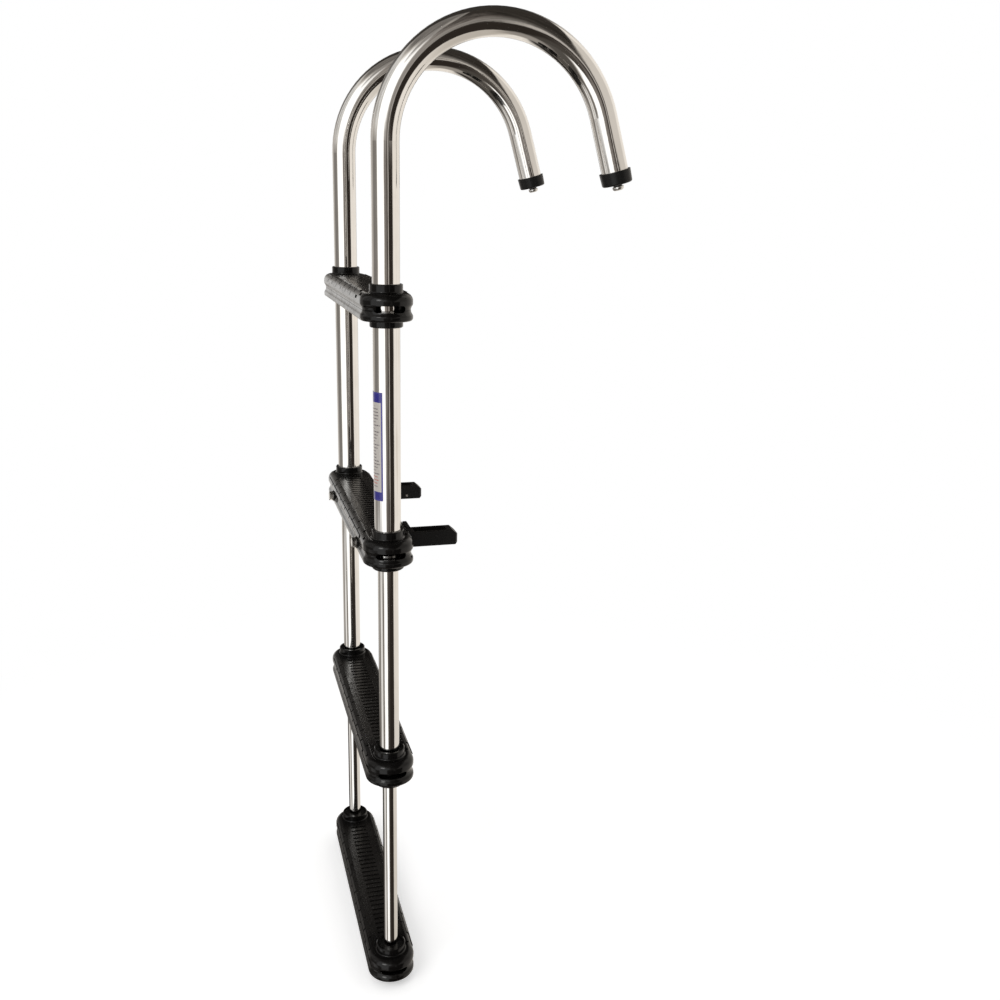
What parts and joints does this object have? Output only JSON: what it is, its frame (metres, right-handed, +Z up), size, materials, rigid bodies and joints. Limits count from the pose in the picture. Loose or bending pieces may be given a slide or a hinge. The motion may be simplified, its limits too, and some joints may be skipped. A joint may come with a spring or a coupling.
{
  "type": "telescopic boat boarding ladder",
  "caption": "Telescopic stainless boarding ladder with round gunwale hooks, black moulded steps that slide up on nested tubes, and stand-off blocks that rest on the hull.",
  "frame": {"origin": "where the ladder hangs: midway between the two hooks, at the underside of their crowns", "axes": "+X from the climbing side towards the boat, +Y to the left of a person facing the boat, +Z up along the stiles"},
  "size_m": [0.2897, 0.348, 1.0769],
  "materials": {
    "polished_stainless": "mirror polished stainless tube",
    "stainless_fasteners": "bright stainless fasteners",
    "black_step_plastic": "black moulded glass-filled nylon, semi-gloss with a moulded tread",
    "black_fitting_plastic": "black moulded plastic, satin",
    "white_acetal": "natural acetal bushes",
    "rubber_insert": "black rubber well nut",
    "printed_label": "white printed film with a blue border"
  },
  "bodies": {
    "upper_section": {"hook_tube_left": "polished_stainless", "hook_tube_right": "polished_stainless", "hook_end_cap_left": "black_fitting_plastic", "hook_end_cap_right": "black_fitting_plastic", "hook_end_screws": "stainless_fasteners", "hook_end_washers": "black_fitting_plastic", "hook_end_inserts": "rubber_insert", "step_1_tread": "black_step_plastic", "step_1_base": "black_step_plastic", "step_1_screws": "stainless_fasteners", "step_1_rivets": "stainless_fasteners", "step_2_tread": "black_step_plastic", "step_2_base": "black_step_plastic", "step_2_screws": "stainless_fasteners", "step_2_rivets": "stainless_fasteners", "guide_bush_upper_left": "white_acetal", "guide_bush_upper_right": "white_acetal", "standoff_block_left": "black_fitting_plastic", "standoff_block_right": "black_fitting_plastic", "standoff_flange_left": "black_fitting_plastic", "standoff_flange_right": "black_fitting_plastic", "standoff_bolts": "stainless_fasteners", "standoff_washers": "stainless_fasteners", "standoff_nuts": "stainless_fasteners", "standoff_grub_screws": "stainless_fasteners", "rating_label": "printed_label"},
    "middle_section": {"middle_tube_left": "polished_stainless", "middle_tube_right": "polished_stainless", "slide_bush_middle_left": "white_acetal", "slide_bush_middle_right": "white_acetal", "guide_bush_lower_left": "white_acetal", "guide_bush_lower_right": "white_acetal", "step_3_tread": "black_step_plastic", "step_3_base": "black_step_plastic", "step_3_screws": "stainless_fasteners", "step_3_rivets": "stainless_fasteners", "step_3_reducers": "black_fitting_plastic"},
    "lower_section": {"lower_tube_left": "polished_stainless", "lower_tube_right": "polished_stainless", "slide_bush_lower_left": "white_acetal", "slide_bush_lower_right": "white_acetal", "step_4_tread": "black_step_plastic", "step_4_base": "black_step_plastic", "step_4_screws": "stainless_fasteners", "step_4_rivets": "stainless_fasteners", "step_4_reducers": "black_fitting_plastic", "foot_plug_left": "black_fitting_plastic", "foot_plug_right": "black_fitting_plastic"}
  },
  "joints": [
    {"name": "middle_slide", "type": "slide", "parent": "upper_section", "child": "middle_section", "axis": [0, 0, 1], "range_m": [0, 0.212]},
    {"name": "lower_slide", "type": "slide", "parent": "middle_section", "child": "lower_section", "axis": [0, 0, 1], "range_m": [0, 0.212]}
  ]
}
